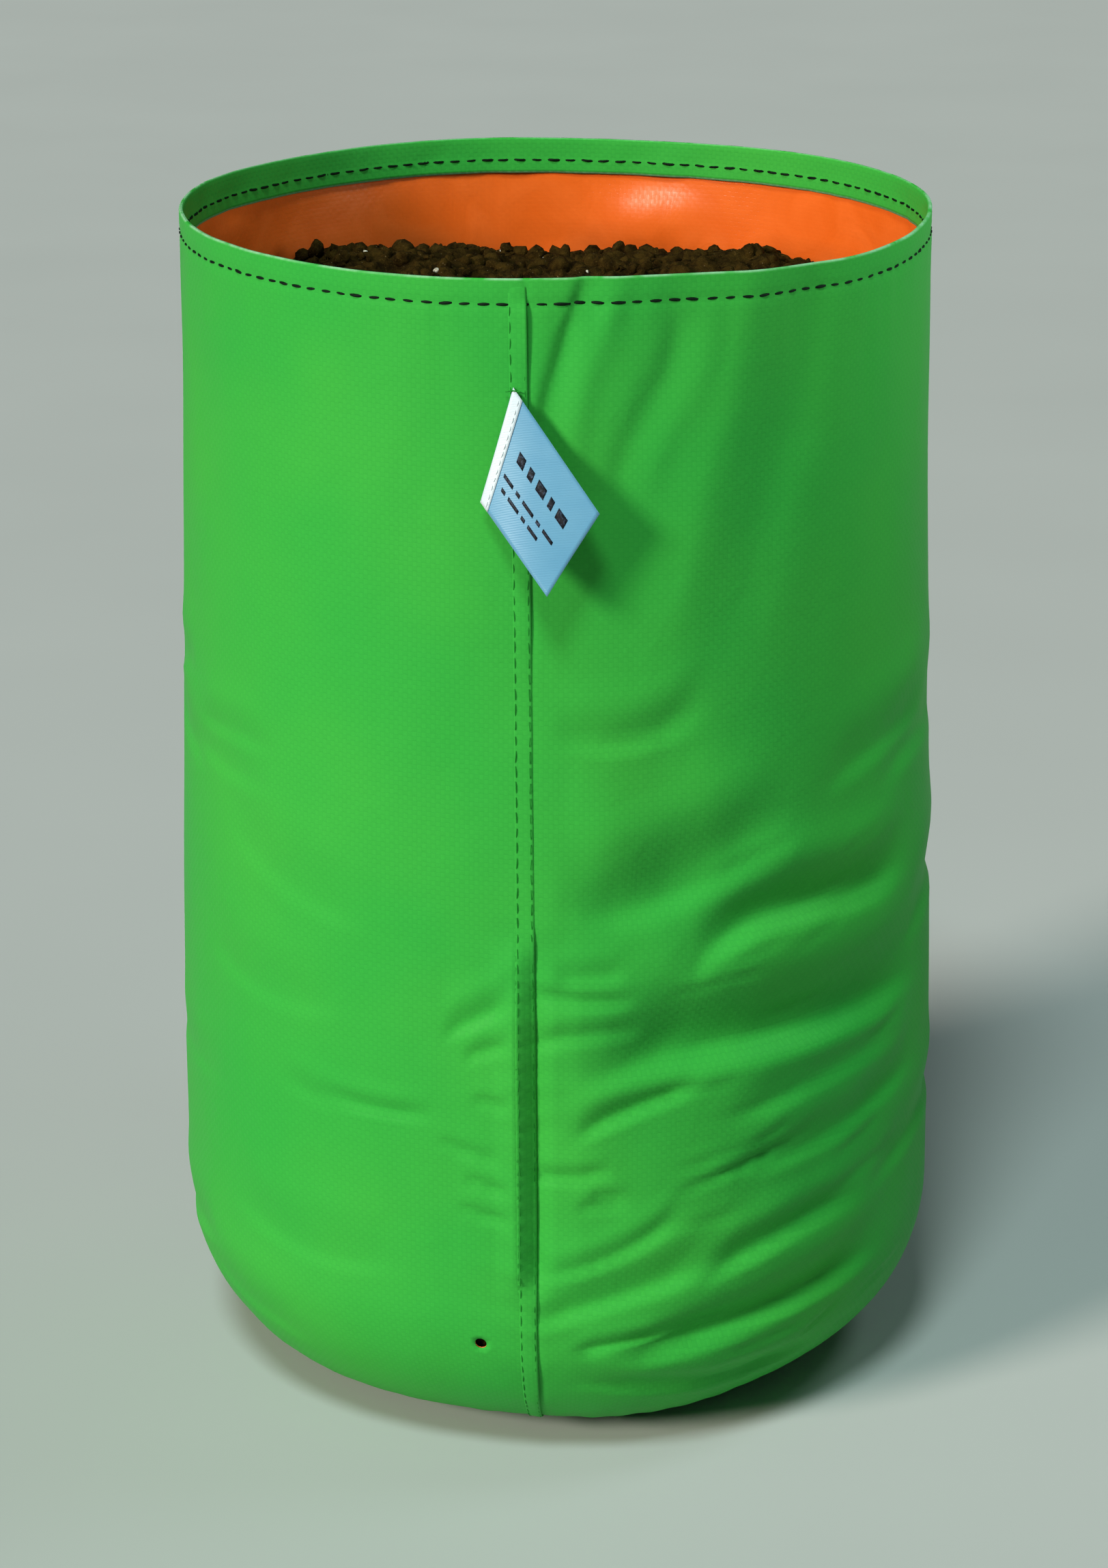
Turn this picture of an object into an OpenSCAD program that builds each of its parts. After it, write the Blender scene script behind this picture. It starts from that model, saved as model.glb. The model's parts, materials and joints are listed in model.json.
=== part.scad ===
// A tall round grow bag, sewn from woven cloth with a green face and an orange inner
// film, standing full of potting soil. Axes: +Z up, origin at the centre of the base,
// the lapped side seam and the label on the -Y side.

/* [Bag] */
// Height of the standing bag
bag_h = 610; // [480:5:750]
// Outer radius at the rim
rim_r = 187; // [150:1:230]
// How far the filled wall bellies out beyond the rim
belly = 10; // [0:1:18]
// Share of the height, from the rim down, over which the belly grows
belly_reach = 0.75; // [0.5:0.05:0.8]
// Radius of the rounded bottom edge
corner_r = 94; // [50:1:110]

/* [Cloth] */
// Thickness of the green woven cloth
weave_t = 0.5; // [0.3:0.05:1]
// Thickness of the orange inner film
film_t = 0.2; // [0.1:0.05:0.4]

/* [Rim hem] */
// Depth of the hem turned down inside the rim
hem_depth = 19; // [14:1:35]
// Distance from the rim down to the hem's row of stitches
hem_stitch_drop = 12; // [6:1:13]

/* [Side seam] */
// Width of the lap, from the seam's free edge to its second row of stitches
lap_w = 9; // [6:0.5:14]
// Distance of a row of stitches from the edge beside it
edge_margin = 1.2; // [0.8:0.1:2]

/* [Base seam] */
// Angle round the bottom edge at which the wall is sewn to the base
base_seam_angle = 15; // [10:1:40]
// Width of the cloth turned in at the base seam
allowance_w = 12; // [8:1:20]

/* [Stitching] */
// Thickness of the thread
thread_d = 0.6; // [0.3:0.1:1]
// Length of one stitch
stitch_len = 6; // [3:0.5:8]
// Distance from one stitch to the next
stitch_pitch = 9; // [8.5:0.5:14]

/* [Drain holes] */
// Diameter of a drain hole
drain_d = 6; // [3:0.5:10]
// Number of drain holes round the bag
drain_count = 4; // [2:1:8]
// Angle round the bottom edge at which the holes are punched
drain_angle = 78; // [50:1:85]
// Turn of the first hole from the side seam
drain_turn = -7.3; // [-40:0.1:-5]

/* [Label] */
// Height of the label from its sewn corner to its lowest corner
label_h = 92; // [60:1:120]
// Width of the label from its left corner to its right corner
label_w = 57; // [35:1:80]
// Thickness of the label's cloth
label_t = 0.5; // [0.3:0.1:1]
// Width of the edge turned over on the label's upper left side
turned_w = 5; // [3:0.5:8]
// Drop of the label's sewn corner below the rim
label_drop = 49.5; // [30:0.5:120]
// Turn of the label's sewn corner from the side seam
label_turn = -2.14; // [-4:0.01:-1.5]
// Lean of the hanging label away from the wall
label_lean = 9.5; // [6:0.5:20]
// Yaw of the label, which brings its right corner outwards
label_yaw = 13; // [0:1:25]

/* [Soil] */
// Depth of the soil's surface below the rim
soil_drop = 57; // [40:1:150]
// Number of loose crumbs on the soil
crumb_count = 90; // [0:10:160]
// Smallest radius of a crumb
crumb_min = 2.5; // [1:0.5:4]
// Largest radius of a crumb
crumb_max = 6; // [4.5:0.5:7]
// Number of perlite grains on the soil
perlite_count = 30; // [0:5:60]
// Radius of a perlite grain
perlite_r = 1.4; // [0.8:0.1:2.5]

/* [Hidden] */

ply_gap = 0.02;
base_r = rim_r + belly - corner_r;
film_inset = weave_t + ply_gap;
inner_ply_inset = film_inset + film_t + ply_gap;
hem_inset = inner_ply_inset + weave_t;
fold_r = hem_inset / 2;
wall_top = bag_h - fold_r - ply_gap;
soil_inset = inner_ply_inset + weave_t + 0.4;
soil_top = bag_h - soil_drop;
stitch_lift = thread_d / 2 + 0.03;
corner_steps = 14;
wall_steps = 40;
ring_steps = 5;
seam_row_start = 12;
row_end_gap = 2;
punch_len = 10;
crumb_margin = 14;
perlite_margin = 22;
perlite_phase = 6.85;
wall_len = corner_r * (90 - base_seam_angle) * PI / 180 + bag_h - corner_r;

// The label's outline, clockwise from its sewn corner: right, bottom and left corners
label_side_drop = 0.59 * label_h;
label_corners = [
    [0, 0],
    [0.77 * label_w, -label_side_drop],
    [0.37 * label_w, -label_h],
    [-0.23 * label_w, -label_side_drop]
];
left_side = label_corners[3];
left_len = norm(left_side);
left_lean = atan2(left_side[0], -left_side[1]);
label_z = bag_h - label_drop;
label_stand = 1.9;
edge_stitch_len = 2.6;
edge_stitch_pitch = 4;
tack_len = 3.4;
tack_pitch = 1.4;
tack_drop = 3;

bar_lengths = [34, 26, 30];
bar_h = 2.2;
bar_t = 0.1;
first_bar = [20, -14];
bar_step = [5, -7];

green = [0.24, 0.70, 0.27];
dark_green = [0.10, 0.40, 0.20];
orange = [0.94, 0.38, 0.11];
thread_black = [0.05, 0.07, 0.05];
soil_brown = [0.14, 0.09, 0.05];
label_white = [0.88, 0.93, 0.97];

// ---- The bag's section: a quarter circle at the bottom edge and the wall above it ----

function belly_share(z) =
    let (s = min(1, (bag_h - z) / (belly_reach * bag_h))) s * s * (3 - 2 * s);

function wall_r(z) = rim_r + belly * belly_share(z);

function corner_point(angle, inset) = [
    base_r + (corner_r - inset) * sin(angle),
    corner_r - (corner_r - inset) * cos(angle)
];

// The section up from the base seam, or from one of the steps above it
function section(inset, top, first_step = 0) = concat(
    [for (i = [first_step : corner_steps])
        corner_point(base_seam_angle + (90 - base_seam_angle) * i / corner_steps, inset)],
    [for (i = [1 : wall_steps])
        let (z = corner_r + (top - corner_r) * i / wall_steps) [wall_r(z) - inset, z]]
);

function base_section(inset) = concat(
    [[0, inset]],
    [for (i = [0 : 4]) corner_point(base_seam_angle * i / 4, inset)]
);

function reversed(list) = [for (i = [len(list) - 1 : -1 : 0]) list[i]];

// The point that lies a given length up the section from the base seam
function up_the_section(len, inset) =
    let (angle = base_seam_angle + len / corner_r * 180 / PI)
    angle < 90
        ? corner_point(angle, inset)
        : let (z = corner_r + (angle - 90) * PI / 180 * corner_r) [wall_r(z) - inset, z];

// A ply of cloth between two insets, all round
module ply(outer, inner, top) {
    rotate_extrude()
        polygon(concat(section(outer, top), reversed(section(inner, top))));
}

// A strip of one ply along the side seam, from just above the base seam's stitches
module seam_strip(outer, inner, top) {
    rotate([0, 0, -90 - arc_turn(lap_w)])
        rotate_extrude(angle = arc_turn(lap_w))
            polygon(concat(section(outer, top, 1), reversed(section(inner, top, 1))));
}

// A ring of one ply, cut from the wall between two heights above the bottom edge
module ply_ring(outer, inner, from, to) {
    heights = [for (i = [0 : ring_steps]) from + (to - from) * i / ring_steps];
    rotate_extrude()
        polygon(concat(
            [for (z = heights) [wall_r(z) - outer, z]],
            [for (z = reversed(heights)) [wall_r(z) - inner, z]]
        ));
}

module base_ply(outer, inner) {
    rotate_extrude()
        polygon(concat(base_section(outer), reversed(base_section(inner))));
}

function arc_turn(len) = len / rim_r * 180 / PI;

module drain_holes() {
    for (i = [0 : drain_count - 1])
        rotate([0, 0, drain_turn + 360 * i / drain_count])
            translate([0, -base_r, corner_r])
                rotate([180 - drain_angle, 0, 0])
                    translate([0, 0, corner_r - punch_len / 2])
                        cylinder(h = punch_len, d = drain_d, $fn = 32);
}

// ---- Stitches ----

module stitch(length) {
    cylinder(h = length, d = thread_d, $fn = 8);
}

module ring_of_stitches(radius, z) {
    count = floor(2 * PI * radius / stitch_pitch);
    for (i = [0 : count - 1])
        rotate([0, 0, 360 * i / count])
            translate([-stitch_len / 2, -radius, z])
                rotate([0, 90, 0])
                    stitch(stitch_len);
}

module seam_row(turn, inset, from, to) {
    for (i = [0 : floor((to - from - stitch_len) / stitch_pitch)]) {
        a = up_the_section(from + i * stitch_pitch, inset);
        b = up_the_section(from + i * stitch_pitch + stitch_len, inset);
        rotate([0, 0, turn])
            translate([0, -a[0], a[1]])
                rotate([atan2(b[0] - a[0], b[1] - a[1]), 0, 0])
                    stitch(norm(b - a));
    }
}

// ---- Wall ----

// The green cloth is one length, held here in two: up to the soil's surface, and above it
module wall_outer_weave() {
    color(green)
        difference() {
            ply(0, weave_t, soil_top);
            drain_holes();
        }
}

module wall_weave_above_soil() {
    color(green) ply_ring(0, weave_t, soil_top + ply_gap, wall_top);
}

module wall_inner_film() {
    color(orange)
        difference() {
            ply(film_inset, film_inset + film_t, wall_top);
            drain_holes();
        }
}

// The wall's own top edge, turned in over the rim and down inside it
module rim_hem_band() {
    fold_z = bag_h - fold_r;
    color(green)
        rotate_extrude()
            polygon(concat(
                [[rim_r - hem_inset, bag_h - hem_depth],
                 [rim_r - inner_ply_inset, bag_h - hem_depth],
                 [rim_r - inner_ply_inset, fold_z]],
                [for (a = [0 : 15 : 180])
                    [rim_r - fold_r + fold_r * cos(a), fold_z + fold_r * sin(a)]]
            ));
}

module side_seam_overlap() {
    color(green)
        seam_strip(-ply_gap - weave_t, -ply_gap, bag_h - 1);
}

module side_seam_turned_edge() {
    color(green)
        seam_strip(inner_ply_inset, inner_ply_inset + weave_t, bag_h - hem_depth - 1);
}

// ---- Base ----

module base_outer_weave() {
    color(dark_green) base_ply(0, weave_t);
}

module base_inner_film() {
    color(orange) base_ply(film_inset, film_inset + film_t);
}

// Edges of wall and base, sewn together and laid flat inside, under the soil
module base_seam_allowance() {
    outer_r = corner_point(base_seam_angle, 0)[0] - 1;
    color(dark_green)
        difference() {
            base_ply(inner_ply_inset, inner_ply_inset + weave_t);
            translate([0, 0, -1])
                cylinder(h = corner_r, r = outer_r - allowance_w, $fn = 96);
        }
}

// ---- Rows of stitches ----

module hem_stitches_outside() {
    color(thread_black)
        ring_of_stitches(rim_r + weave_t + ply_gap + stitch_lift, bag_h - hem_stitch_drop);
}

module hem_stitches_inside() {
    color(thread_black)
        ring_of_stitches(rim_r - hem_inset - stitch_lift, bag_h - hem_stitch_drop);
}

module seam_edge_stitches() {
    color(thread_black)
        seam_row(-arc_turn(edge_margin), -weave_t - stitch_lift, seam_row_start,
                 wall_len - hem_stitch_drop - row_end_gap);
}

module seam_second_stitches() {
    color(thread_black)
        seam_row(-arc_turn(lap_w - edge_margin), -weave_t - stitch_lift, seam_row_start,
                 wall_len - hem_stitch_drop - row_end_gap);
}

module seam_stitches_inside() {
    color(thread_black)
        seam_row(-arc_turn(lap_w / 2), hem_inset + stitch_lift,
                 wall_len - soil_drop + row_end_gap, wall_len - hem_depth - row_end_gap);
}

module base_seam_stitches() {
    seam_point = corner_point(base_seam_angle + 2, -stitch_lift);
    color(thread_black) ring_of_stitches(seam_point[0], seam_point[1]);
}

// ---- Soil ----

module potting_soil() {
    color(soil_brown)
        rotate_extrude()
            polygon(concat(
                base_section(soil_inset),
                section(soil_inset, soil_top),
                [[0, soil_top]]
            ));
}

// A repeatable spread of values from 0 to 1
function spread(i) = let (v = sin(i * 78.233 + 11) * 437.58) v - floor(v);

// Half-buried lumps, dealt out along a sunflower spiral so that none touch
module scattered(count, small, large, phase, reach) {
    for (i = [0 : count - 1]) {
        r = small + (large - small) * spread(i + phase);
        rotate([0, 0, 137.508 * (i + phase)])
            translate([reach * sqrt((i + 0.5) / count), 0, soil_top])
                intersection() {
                    translate([0, 0, 0.3 * r]) sphere(r = r, $fn = 24);
                    translate([-r, -r, ply_gap]) cube([2 * r, 2 * r, 2 * r]);
                }
    }
}

module soil_crumbs() {
    color(soil_brown)
        scattered(crumb_count, crumb_min, crumb_max, 0, rim_r - hem_inset - crumb_margin);
}

module perlite_grains() {
    color("whitesmoke")
        scattered(perlite_count, 0.6 * perlite_r, perlite_r, perlite_phase,
                  rim_r - hem_inset - perlite_margin);
}

// ---- Label, hung by its top corner from the seam's second row of stitches ----

module at_label() {
    rotate([0, 0, label_turn])
        translate([0, -wall_r(label_z) - label_stand, label_z])
            rotate([0, 0, -label_yaw])
                rotate([-label_lean, 0, 0])
                    children();
}

// A flat shape drawn on the label's face, standing out from its back
module on_label(lift, thickness) {
    translate([0, -lift, 0])
        rotate([90, 0, 0])
            linear_extrude(thickness)
                children();
}

module label_leaf() {
    color(label_white) at_label() on_label(0, label_t) polygon(label_corners);
}

module label_turned_edge() {
    color("white")
        at_label()
            on_label(label_t + ply_gap, label_t)
                intersection() {
                    polygon(label_corners);
                    rotate([0, 0, left_lean])
                        translate([0, -left_len])
                            square([turned_w, left_len]);
                }
}

module label_edge_stitches() {
    color("lightgray")
        at_label()
            for (i = [3 : floor(left_len / edge_stitch_pitch) - 2])
                translate([0, -2 * label_t - ply_gap - stitch_lift, 0])
                    rotate([0, -left_lean, 0])
                        translate([turned_w - edge_margin, 0, -edge_stitch_pitch * i])
                            rotate([180, 0, 0])
                                stitch(edge_stitch_len);
}

module label_printed_bars() {
    slant = atan2(label_corners[1][1], label_corners[1][0]);
    color(thread_black)
        at_label()
            on_label(label_t + ply_gap, bar_t)
                for (i = [0 : len(bar_lengths) - 1])
                    rotate([0, 0, slant])
                        translate(first_bar + i * bar_step)
                            square([bar_lengths[i], bar_h]);
}

module label_tack() {
    color(thread_black)
        at_label()
            for (side = [-1, 0, 1])
                translate([tack_pitch * side, -2 * label_t - 2 * ply_gap - stitch_lift, -tack_drop])
                    rotate([180, 0, 0])
                        stitch(tack_len);
}

wall_outer_weave();
wall_weave_above_soil();
wall_inner_film();
rim_hem_band();
side_seam_overlap();
side_seam_turned_edge();
base_outer_weave();
base_inner_film();
base_seam_allowance();
hem_stitches_outside();
hem_stitches_inside();
seam_edge_stitches();
seam_second_stitches();
seam_stitches_inside();
base_seam_stitches();
potting_soil();
soil_crumbs();
perlite_grains();
label_leaf();
label_turned_edge();
label_edge_stitches();
label_printed_bars();
label_tack();
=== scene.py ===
import json
import math

import bpy
import numpy as np
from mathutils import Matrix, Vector, noise


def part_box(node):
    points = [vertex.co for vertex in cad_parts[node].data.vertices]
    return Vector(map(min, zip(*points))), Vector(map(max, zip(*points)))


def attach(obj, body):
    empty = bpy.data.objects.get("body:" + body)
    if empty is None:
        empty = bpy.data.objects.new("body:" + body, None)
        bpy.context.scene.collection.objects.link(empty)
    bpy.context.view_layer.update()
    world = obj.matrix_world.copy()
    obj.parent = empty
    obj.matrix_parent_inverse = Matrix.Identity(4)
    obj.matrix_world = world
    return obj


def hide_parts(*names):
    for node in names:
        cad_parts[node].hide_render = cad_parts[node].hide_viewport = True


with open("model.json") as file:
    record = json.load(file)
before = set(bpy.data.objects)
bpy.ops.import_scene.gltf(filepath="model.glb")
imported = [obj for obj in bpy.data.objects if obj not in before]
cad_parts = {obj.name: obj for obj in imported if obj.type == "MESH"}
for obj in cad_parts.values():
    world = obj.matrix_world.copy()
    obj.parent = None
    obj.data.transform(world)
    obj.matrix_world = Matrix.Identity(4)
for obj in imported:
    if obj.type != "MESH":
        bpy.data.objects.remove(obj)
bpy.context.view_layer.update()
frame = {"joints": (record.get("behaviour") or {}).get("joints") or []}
MM = 0.001

# ---- Wall cloth ----------------------------------------------------------------------
# One length of tape-woven cloth, green on its face, wrapped once round the soil, lapped
# and sewn at the front, and drawn in under the bottom edge. The soil's weight keeps it
# smooth on the left and creases it in long slanting folds on the right.

rim_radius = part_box("rim_hem_band")[1][0]
bag_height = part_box("rim_hem_band")[1][2]
full_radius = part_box("wall_outer_weave")[1][1]
soil_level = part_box("potting_soil")[1][2]
corner_radius = 94 * MM
flat_radius = full_radius - corner_radius
belly_reach = 0.75
base_seam_angle = math.radians(15)
cloth_thickness = 0.4 * MM
fold_radius = 1.1 * MM
hem_stitch_height = bag_height - 12 * MM
lap_width = 9 * MM
hem_depth = bag_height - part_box("rim_hem_band")[0][2]
corner_run = corner_radius * (math.pi / 2 - base_seam_angle)
wall_run = corner_run + bag_height - fold_radius - corner_radius
raw_edge_run = wall_run + fold_radius * math.pi + hem_depth
arc_per_degree = rim_radius * math.pi / 180

# Drain holes, punched low in the wall
hole_radius = 3.0 * MM
hole_turns = [-7.3, 82.7, 172.7, 262.7 - 360]
hole_run = corner_radius * (math.radians(78) - base_seam_angle)

# Each crease: its line as (turn in degrees, height in mm) points, its width and depth in mm.
# Turns are counted from the side seam, to the right as the seam is faced.
right_creases = [
    ([(5, 392), (16, 389), (24, 399)], 10, 2.8),
    ([(7, 309), (16, 307), (25, 316), (36, 323)], 20, 6.0, 0.5),
    ([(24, 277), (34, 291), (47, 292), (64, 293)], 15, 8.5, 0.36),
    ([(11, 222), (25, 228), (44, 228), (68, 230)], 23, 10.5),
    ([(7, 189), (15, 201), (24, 210)], 8, 3.8),
    ([(34, 162), (50, 167), (69, 180)], 12, 3.6),
    ([(2, 113), (11, 122), (21, 140)], 6, 2.9),
    ([(26, 108), (39, 121), (53, 126)], 9, 4.2),
    ([(17, 68), (29, 75), (41, 80), (58, 88)], 15, 7.8),
    ([(9, 49), (25, 41), (48, 42)], 9, 3.4),
    ([(1, 88), (12, 100), (25, 113)], 11, 3.8),
    ([(7, 71), (13, 75), (19, 77)], 5, 2.4),
    ([(30, 190), (45, 198), (62, 203)], 10, 2.2),
    ([(48, 352), (62, 362), (76, 366)], 14, 2.6),
    ([(62, 345), (75, 352), (92, 350)], 20, 2.6),
    ([(70, 250), (84, 262), (104, 262)], 18, 2.8),
    ([(60, 128), (76, 140), (96, 142)], 14, 2.6),
]
seam_puckers = [
    ([(4, 271), (13, 273)], 6, 1.6),
    ([(1, 261), (14, 258)], 5, 2.2),
    ([(1, 236), (7, 241), (15, 241)], 6, 2.2),
    ([(1, 165), (11, 168)], 5, 2.3),
    ([(9, 158), (13, 156)], 4, 1.6),
    ([(7, 149), (14, 152)], 5, 1.8),
    ([(-12, 239), (-3, 257)], 7, 2.4),
    ([(-9, 228), (-3, 236)], 5, 2.2),
    ([(-8, 205), (-3, 204)], 4, 1.9),
    ([(-10, 147), (-3, 142)], 4, 1.9),
    ([(-9, 163), (-3, 158)], 4, 1.8),
    ([(-13, 181), (-5, 175)], 4, 1.5),
]
left_creases = [
    ([(-31, 196), (-22, 194), (-15, 195)], 5, 2.0),
    ([(-39, 197), (-31, 190)], 7, 1.2),
    ([(-52, 318), (-38, 300), (-26, 292)], 16, 1.2),
    ([(-58, 250), (-44, 240), (-30, 244)], 14, 1.1),
    ([(-50, 118), (-36, 108), (-22, 112)], 14, 1.3),
]
folds_below_hem = [
    ([(8.5, 616), (6.5, 592), (4, 573), (2.5, 550), (2, 510)], 8, 3.0, 0.5),
    ([(20, 600), (21, 580), (17, 550), (13, 505)], 8, 2.0, 0.8),
    ([(33, 625), (30, 560), (25, 500), (22, 430)], 17, -2.6, 0.9),
    ([(44, 606), (42, 560), (43, 520)], 14, 1.3, 0.8),
]
# a soft upright turn in the cloth, flatter to its left
upright_turn = [([(9, 405), (8.5, 350), (9, 311), (8, 256), (7, 205)], 21, -2.8, 1.8)]


def window(value, low, high, soft):
    """1 between low and high, fading to 0 over a soft length at each end."""
    rise = np.clip((value - low) / soft + 0.5, 0, 1)
    fall = np.clip((high - value) / soft + 0.5, 0, 1)
    return rise * rise * (3 - 2 * rise) * fall * fall * (3 - 2 * fall)


def crease(turn, height, line, width, depth, spring=0.27):
    """Push of one crease, in mm: the cloth sinks slowly to its line and springs back beyond it."""
    turns, heights = np.array(line, float).T
    arc, arcs = turn * arc_per_degree / MM, turns * arc_per_degree / MM
    along, across, line_along, line_across = arc, height, arcs, heights
    if np.ptp(arcs) < np.ptp(heights):
        along, across, line_along, line_across = height, arc, heights, arcs
    low, high = line_along.min(), line_along.max()
    curve = np.poly1d(np.polyfit(line_along, line_across, min(3, len(line) - 1)))
    inside = np.clip(along, low, high)
    slope = curve.deriv()(inside)
    off = (across - curve(inside)) / np.sqrt(1 + slope**2)
    reach = 0.35 * (high - low)
    hollow = np.exp(-((off / np.where(off > 0, width, spring * width)) ** 2))
    ridge = np.exp(-(((off + 0.5 * width) / (0.25 * width)) ** 2))
    swell = np.exp(-(((off - 2.0 * width) / (0.8 * width)) ** 2))
    shape = 0.08 * ridge + 0.4 * swell - hollow
    return depth * shape * window(along, low + 0.1 * reach, high - 0.1 * reach, reach)


def ripples(turn, height, seed, crests, rises, count=12):
    """Seamless unevenness round the bag: waves with whole numbers of crests, about 1 high."""
    pick = np.random.default_rng(seed)
    total = np.zeros(np.broadcast(turn, height).shape)
    for _ in range(count):
        crest = pick.integers(*crests)
        rise = pick.uniform(*rises) * pick.choice([-1, 1])
        phase = pick.uniform(0, 6.28)
        total = total + np.cos(np.radians(crest * turn) + rise * height / 1000 + phase)
    return total / math.sqrt(count)


def loose_creases(seed, count, turns, heights, lengths, climbs, widths, depths):
    """Slanting creases dealt out over a stretch of the wall."""
    pick = np.random.default_rng(seed)
    made = []
    for _ in range(count):
        turn, height = pick.uniform(*turns), pick.uniform(*heights)
        length, climb = pick.uniform(*lengths), pick.uniform(*climbs)
        middle = (turn + length / 2, height + climb / 2 + pick.uniform(-0.1, 0.1) * length)
        line = [(turn, height), middle, (turn + length, height + climb)]
        made.append((line, pick.uniform(*widths), pick.uniform(*depths)))
    return made


creases = right_creases + seam_puckers + left_creases + folds_below_hem + upright_turn
# Creases nobody placed: seed, how many, then the spread of turns, heights, lengths, climbs,
# widths and depths
creases += loose_creases(7, 22, (100, 215), (40, 520), (12, 34), (-14, 26), (8, 20), (0.8, 2.8))
creases += loose_creases(5, 7, (-92, -60), (60, 420), (12, 30), (-14, 20), (8, 20), (0.8, 2.0))
creases += loose_creases(8, 30, (14, 58), (28, 320), (7, 20), (3, 15), (2.5, 5), (0.4, 1.0))


def section(run, inset=0.0):
    """Radius, height and outward slope of the wall at a run up the cloth from the base seam."""
    angle = base_seam_angle + run / corner_radius
    height = corner_radius + (angle - math.pi / 2) * corner_radius
    share = np.clip((bag_height - height) / (belly_reach * bag_height), 0, 1)
    radius = rim_radius + (full_radius - rim_radius) * share**2 * (3 - 2 * share) - inset
    bend = np.minimum(angle, math.pi / 2)
    low_radius = flat_radius + (corner_radius - inset) * np.sin(bend)
    low_height = corner_radius - (corner_radius - inset) * np.cos(bend)
    upright = angle >= math.pi / 2
    return np.where(upright, radius, low_radius), np.where(upright, height, low_height), bend


def seam_turn(height):
    """Turn of the seam's free edge, in degrees: the seam isn't quite plumb."""
    drop = hem_stitch_height - height
    return -0.29 + 5.0 * drop - 4.2 * drop**2


def crumple(turn, run):
    """How far the filled cloth stands out from its smooth shape, in metres."""
    height = section(run)[1] / MM
    arc = (turn - seam_turn(height * MM)) * arc_per_degree / MM
    push = 0.8 * ripples(turn, height, 3, (2, 8), (3, 14))
    push = push + 0.16 * ripples(turn, height, 4, (10, 34), (15, 60), 20)
    for each in creases:
        push = push + crease(turn, height, *each)
    # the seam: low down, the cloth stands proud at the lap's left and dives to its free edge
    lap = lap_width / MM
    twisted = window(height, 108, 286, 24) * np.interp(height, [245, 270], [1, 0.6])
    stations = [-40, -20, -lap - 0.3, -0.4, 0.8, 8, 20]
    push = push + twisted * np.interp(arc, stations, [0, 1.0, 4.2, -5.4, -4.4, -1.4, 0])
    pressed = np.interp(height, [285, 300, 415, 445], [0.5, 0.1, 0.1, 0.5])
    push = push - pressed * np.exp(-((arc / 1.6) ** 2))
    drawn_up = window(arc, -lap - 1, 0.5, 3) * window(height, 100, 292, 30)
    push = push + 0.24 * drawn_up * np.cos(height / 1.25 + 2.6 * np.sin(height / 9) + 0.2 * arc)
    beside = np.exp(-np.abs(arc + lap / 2) / 15) * window(height, 20, 300, 60)
    push = push + 0.35 * beside * np.cos(height / 3.1 - 0.10 * np.abs(arc) + 2 * np.sin(height / 17))
    # the hem's stitches pull a shallow groove and gather the cloth a little below it
    stitch = hem_stitch_height / MM
    push = push - 0.45 * np.exp(-(((height - stitch) / 2.2) ** 2))
    below = np.exp(-np.clip(stitch - height, 0, None) / 22) * (height < stitch)
    push = push + 0.28 * below * ripples(turn, height, 9, (40, 95), (5, 30), 16)
    # small pleats where the foot is eased on to the base
    foot = np.exp(-run / (16 * MM))
    push = push + 0.9 * foot * ripples(turn, height, 12, (44, 70), (1, 5), 10) - 0.8 * foot
    return push * MM


def rim_rise(turn):
    """The rim isn't quite level."""
    return 0.9 * MM * ripples(turn, 0.0, 21, (2, 7), (0, 1), 6)


def place(turn, radius, height):
    """Points from turns in degrees, radii and heights."""
    turn, radius, height = np.broadcast_arrays(np.radians(turn), radius, height)
    return np.stack([radius * np.sin(turn), -radius * np.cos(turn), height], -1)


def on_bag(turn, run, inset=0.0):
    """Points on the creased wall, set in from the cloth's face."""
    turn, run = np.broadcast_arrays(np.asarray(turn, float), np.asarray(run, float))
    radius, height, bend = section(run, inset)
    push = crumple(turn, run)
    lift = rim_rise(turn) * window(height, bag_height - 40 * MM, 9, 80 * MM)
    return place(turn, radius + push * np.sin(bend), height - push * np.cos(bend) + lift)


def over_rim(turn, offsets, ripple=0.0):
    """Points carried over the rim: offsets inwards from the wall's face and up from its top edge."""
    rows = []
    for inward, up in offsets:
        face = on_bag(turn, wall_run + min(up, 0))
        wave = ripple * ripples(turn, -up / MM, 31, (14, 44), (20, 120), 14) * np.clip(-up / (9 * MM), 0, 1)
        rows.append(place(turn, np.hypot(face[:, 0], face[:, 1]) - inward + wave, face[:, 2] + max(up, 0)))
    return np.array(rows)


def spaced(low, high, step):
    return np.arange(round((high - low) / step)) * step + low


def with_holes(values, centres, step, room):
    """Grid lines with a tight set of five at each drain hole."""
    for centre in centres:
        values = values[np.abs(values - centre) > room]
        values = np.append(values, centre + step * np.arange(-2, 3))
    return np.sort(values)


grid_turns = np.concatenate([
    spaced(-100, -15, 1.8), spaced(-15, 12, 0.5), spaced(12, 72, 0.85), spaced(72, 260, 2.35)])
hole_step = 0.42
grid_turns = with_holes(grid_turns, hole_turns, hole_step, 1.3)
hem_grid_run = wall_run - 22 * MM
grid_runs = np.concatenate([
    spaced(0, 0.42, 3.1 * MM), spaced(0.42, hem_grid_run, 5.8 * MM),
    spaced(hem_grid_run, wall_run, 1.9 * MM)])
grid_runs = with_holes(grid_runs, [hole_run], 1.4 * MM, 4.2 * MM)


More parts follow.
